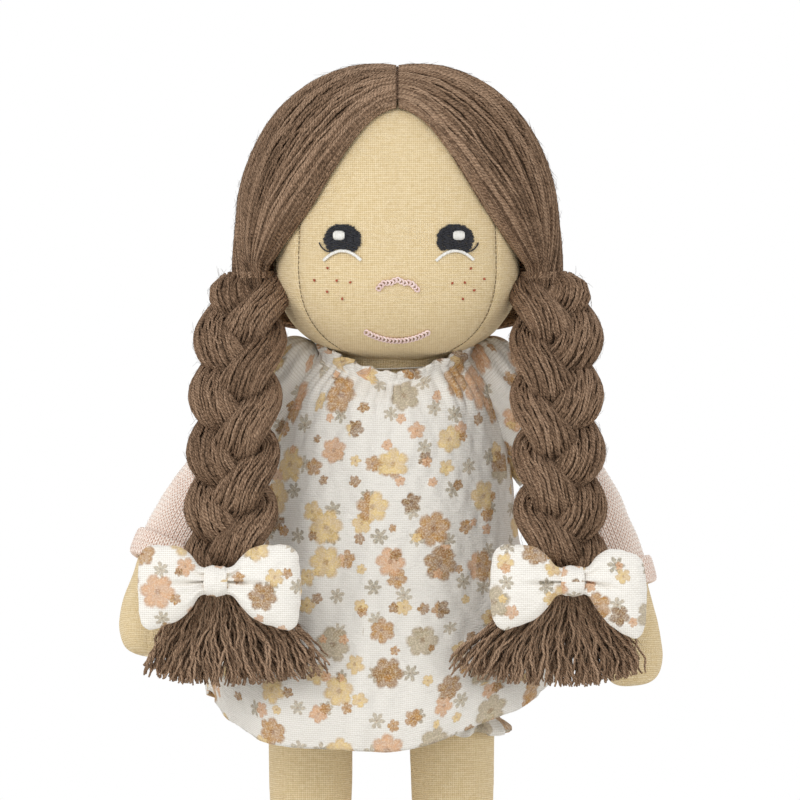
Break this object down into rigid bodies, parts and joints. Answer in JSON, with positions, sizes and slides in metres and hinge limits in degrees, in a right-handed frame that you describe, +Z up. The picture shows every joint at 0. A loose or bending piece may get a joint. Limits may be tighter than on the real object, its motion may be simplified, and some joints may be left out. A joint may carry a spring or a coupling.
{
  "type": "cloth doll",
  "caption": "Stuffed cloth doll with a wool wig in braids, embroidered face, gathered gauze dress, knitted pullover and bloomers; head, arms, legs and braids move.",
  "frame": {"origin": "on the floor, under the middle of the doll's outline", "axes": "+Z up; the doll faces -Y; +X is towards the doll's own left hand"},
  "size_m": [0.2084, 0.1284, 0.3492],
  "materials": {
    "skin_linen": "plain weave, matte",
    "stuffing": "loose fibre",
    "wool_hair": "plied wool, slightly fuzzy",
    "printed_gauze": "crinkled cotton gauze with a small floral print",
    "pink_knit": "fine stockinette knit",
    "eye_thread": "satin stitch with a slight sheen",
    "white_thread": "embroidery thread",
    "pink_thread": "chain stitch thread",
    "seam_thread": "dark sewing thread"
  },
  "bodies": {
    "torso": {"torso_front_panel": "skin_linen", "torso_back_panel": "skin_linen", "torso_stuffing": "stuffing", "neck": "skin_linen", "knit_body": "pink_knit", "bloomers": "printed_gauze", "dress_front": "printed_gauze", "dress_back": "printed_gauze", "neck_elastic": "white_thread"},
    "head": {"face_panel": "skin_linen", "cheek_panel_left": "skin_linen", "cheek_panel_right": "skin_linen", "head_back_panel": "skin_linen", "head_stuffing": "stuffing", "nose_stitching": "pink_thread", "mouth_stitching": "pink_thread", "parting_seam": "seam_thread", "eye_left": "eye_thread", "eye_right": "eye_thread", "eye_highlight_left": "white_thread", "eye_highlight_right": "white_thread", "lower_lid_left": "white_thread", "lower_lid_right": "white_thread", "hair_left": "wool_hair", "hair_right": "wool_hair", "hair_tie_left": "wool_hair", "hair_tie_right": "wool_hair"},
    "arm_left": {"arm_skin_left": "skin_linen", "arm_stuffing_left": "stuffing", "knit_sleeve_left": "pink_knit", "knit_cuff_left": "pink_knit", "dress_sleeve_left": "printed_gauze"},
    "arm_right": {"arm_skin_right": "skin_linen", "arm_stuffing_right": "stuffing", "knit_sleeve_right": "pink_knit", "knit_cuff_right": "pink_knit", "dress_sleeve_right": "printed_gauze"},
    "leg_left": {"leg_skin_left": "skin_linen", "leg_stuffing_left": "stuffing", "sole_left": "skin_linen", "bloomer_leg_left": "printed_gauze"},
    "leg_right": {"leg_skin_right": "skin_linen", "leg_stuffing_right": "stuffing", "sole_right": "skin_linen", "bloomer_leg_right": "printed_gauze"},
    "braid_left": {"braid_lock_left_1": "wool_hair", "braid_lock_left_2": "wool_hair", "braid_lock_left_3": "wool_hair", "braid_tie_left": "wool_hair", "tassel_left": "wool_hair", "bow_left": "printed_gauze", "bow_knot_left": "printed_gauze"},
    "braid_right": {"braid_lock_right_1": "wool_hair", "braid_lock_right_2": "wool_hair", "braid_lock_right_3": "wool_hair", "braid_tie_right": "wool_hair", "tassel_right": "wool_hair", "bow_right": "printed_gauze", "bow_knot_right": "printed_gauze"}
  },
  "joints": [
    {"name": "head_turn", "type": "hinge", "parent": "torso", "child": "head", "pos_m": [0.00161, 0.00512, 0.2365], "axis": [0, 0, 1], "range_deg": [-10, 10]},
    {"name": "arm_left_raise", "type": "hinge", "parent": "torso", "child": "arm_left", "pos_m": [0.04102, 0.01012, 0.222], "axis": [0, -1, 0], "range_deg": [0, 60]},
    {"name": "arm_right_raise", "type": "hinge", "parent": "torso", "child": "arm_right", "pos_m": [-0.04098, 0.01012, 0.222], "axis": [0, 1, 0], "range_deg": [0, 60]},
    {"name": "leg_left_swing", "type": "hinge", "parent": "torso", "child": "leg_left", "pos_m": [0.0229, 0.00512, 0.121], "axis": [-1, 0, 0], "range_deg": [-25, 30]},
    {"name": "leg_right_swing", "type": "hinge", "parent": "torso", "child": "leg_right", "pos_m": [-0.03209, 0.00512, 0.121], "axis": [-1, 0, 0], "range_deg": [-25, 30]},
    {"name": "braid_left_swing", "type": "hinge", "parent": "head", "child": "braid_left", "pos_m": [0.0569, -0.00488, 0.259], "axis": [-1, 0, 0], "range_deg": [0, 40]},
    {"name": "braid_right_swing", "type": "hinge", "parent": "head", "child": "braid_right", "pos_m": [-0.05369, -0.00488, 0.259], "axis": [-1, 0, 0], "range_deg": [0, 40]}
  ]
}
